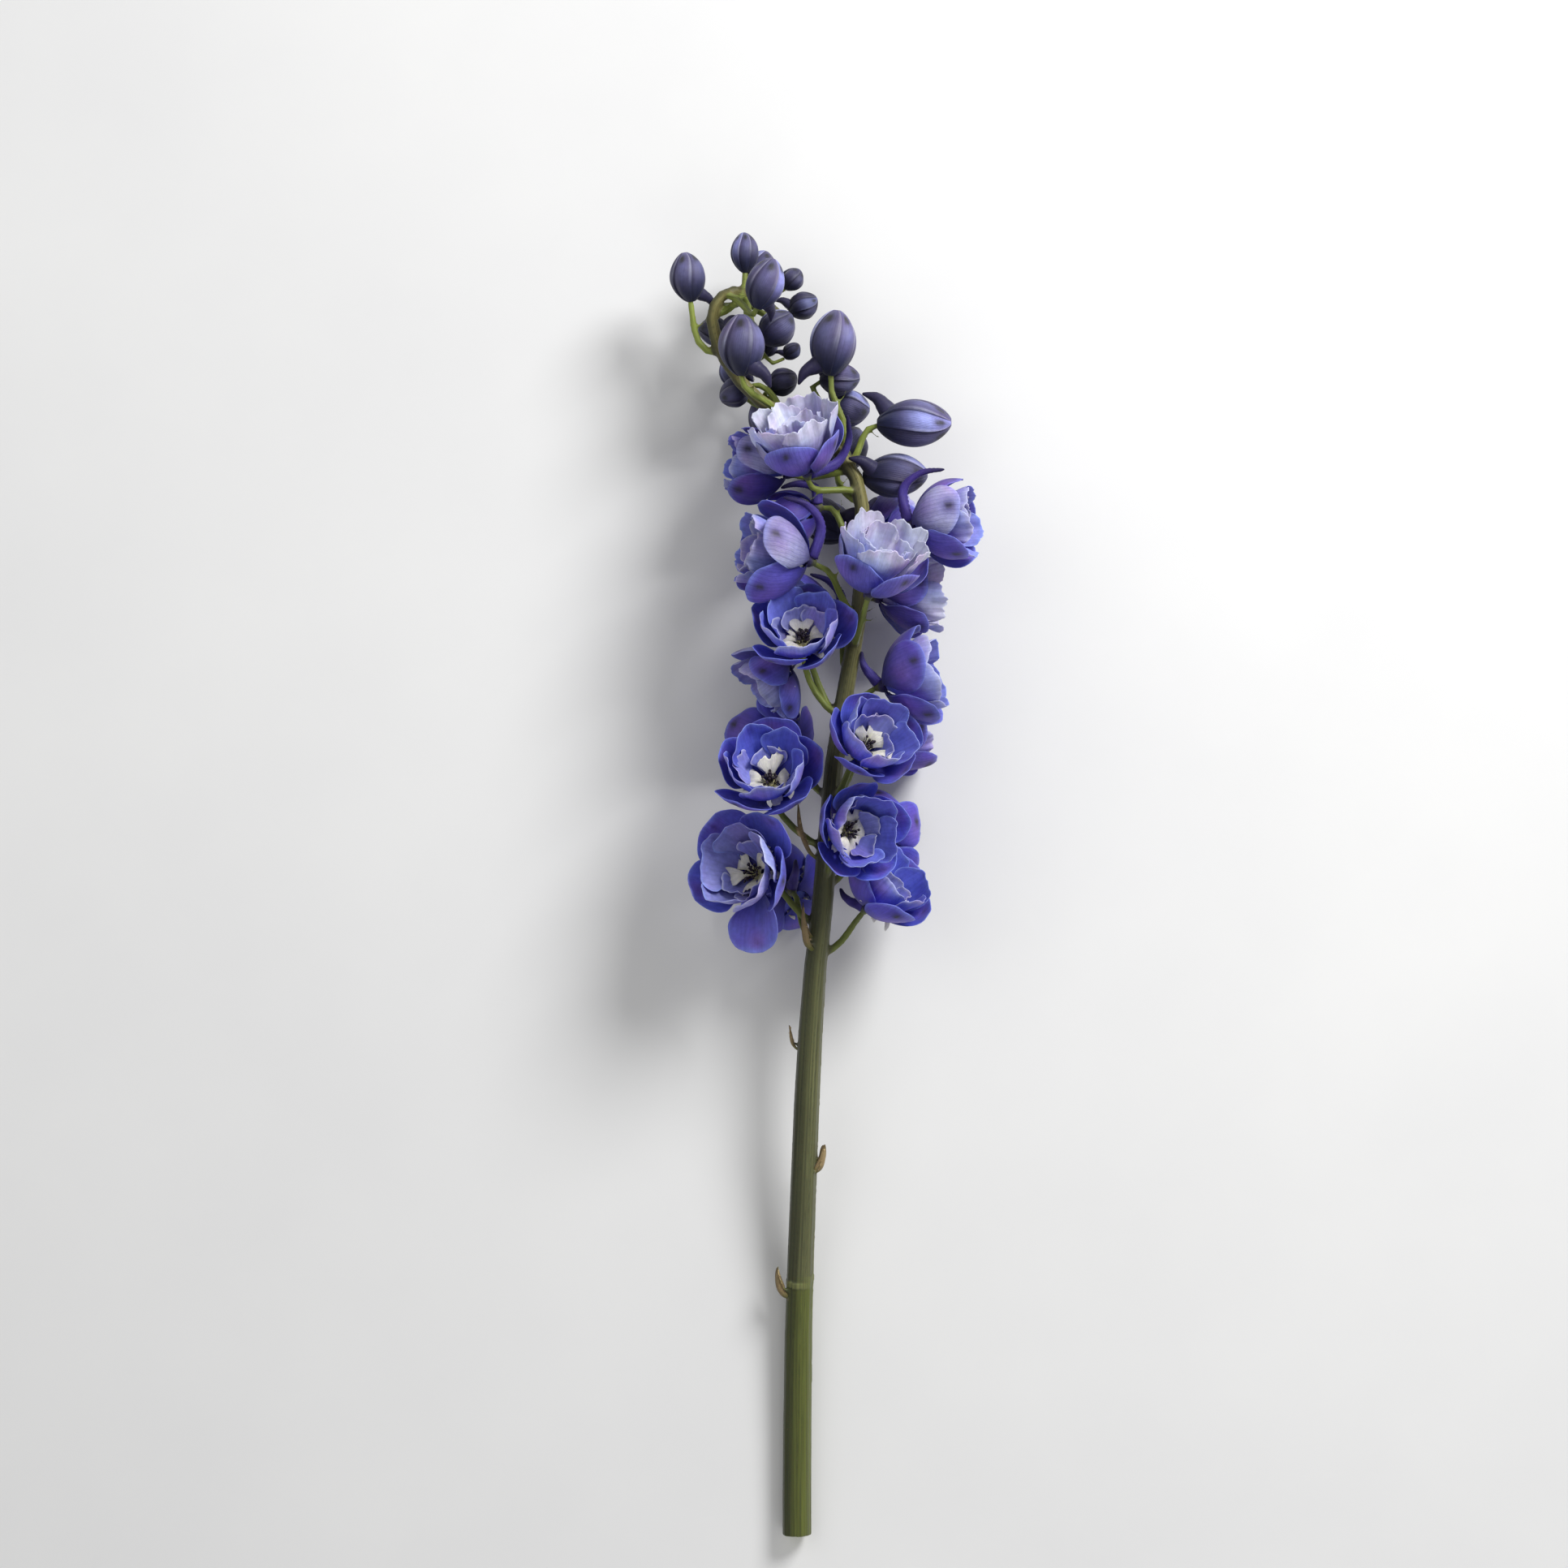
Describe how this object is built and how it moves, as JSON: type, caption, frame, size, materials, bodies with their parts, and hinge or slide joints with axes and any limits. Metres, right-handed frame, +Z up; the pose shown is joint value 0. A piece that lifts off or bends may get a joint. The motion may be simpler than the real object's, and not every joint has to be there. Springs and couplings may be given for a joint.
{
  "type": "delphinium flower spike",
  "caption": "Cut delphinium spike lying on a surface: long ridged green stem, open blue flowers with white bees, half open flowers and slate-violet buds at a bent tip.",
  "frame": {"origin": "on the surface, under the middle of the whole spike's box", "axes": "+Y runs from the cut end to the tip, +Z is up from the surface and +X is to the right seen from above"},
  "size_m": [0.1334, 0.5668, 0.0867],
  "materials": {
    "stem_green": "satin fresh green stem",
    "petal_blue": "soft satin petal",
    "petal_violet": "soft satin petal",
    "bud_slate": "matte downy bud",
    "bee_white": "soft matte petal"
  },
  "bodies": {
    "root": {"bee_01": "bee_white", "bee_02": "bee_white", "bee_03": "bee_white", "bee_04": "bee_white", "bee_05": "bee_white", "bee_06": "bee_white", "bee_07": "bee_white", "bee_08": "bee_white", "bee_09": "bee_white", "bee_10": "bee_white", "bee_11": "bee_white", "bud_01": "bud_slate", "bud_02": "bud_slate", "bud_03": "bud_slate", "bud_04": "bud_slate", "bud_05": "bud_slate", "bud_06": "bud_slate", "bud_07": "bud_slate", "bud_08": "bud_slate", "bud_09": "bud_slate", "bud_10": "bud_slate", "bud_11": "bud_slate", "bud_12": "bud_slate", "bud_13": "bud_slate", "bud_14": "bud_slate", "bud_15": "bud_slate", "bud_16": "bud_slate", "bud_17": "bud_slate", "bud_18": "bud_slate", "bud_19": "bud_slate", "bud_20": "bud_slate", "bud_21": "bud_slate", "bud_22": "bud_slate", "flower_01": "petal_blue", "flower_02": "petal_blue", "flower_03": "petal_blue", "flower_04": "petal_blue", "flower_05": "petal_blue", "flower_06": "petal_blue", "flower_07": "petal_blue", "flower_08": "petal_blue", "flower_09": "petal_blue", "flower_10": "petal_blue", "flower_11": "petal_blue", "half_open_01": "petal_violet", "half_open_02": "petal_violet", "half_open_03": "petal_violet", "half_open_04": "petal_violet", "half_open_05": "petal_violet", "half_open_06": "petal_violet", "half_open_07": "petal_violet", "half_open_08": "petal_violet", "half_open_09": "petal_violet", "half_open_10": "petal_violet", "stem": "stem_green"}
  },
  "joints": []
}
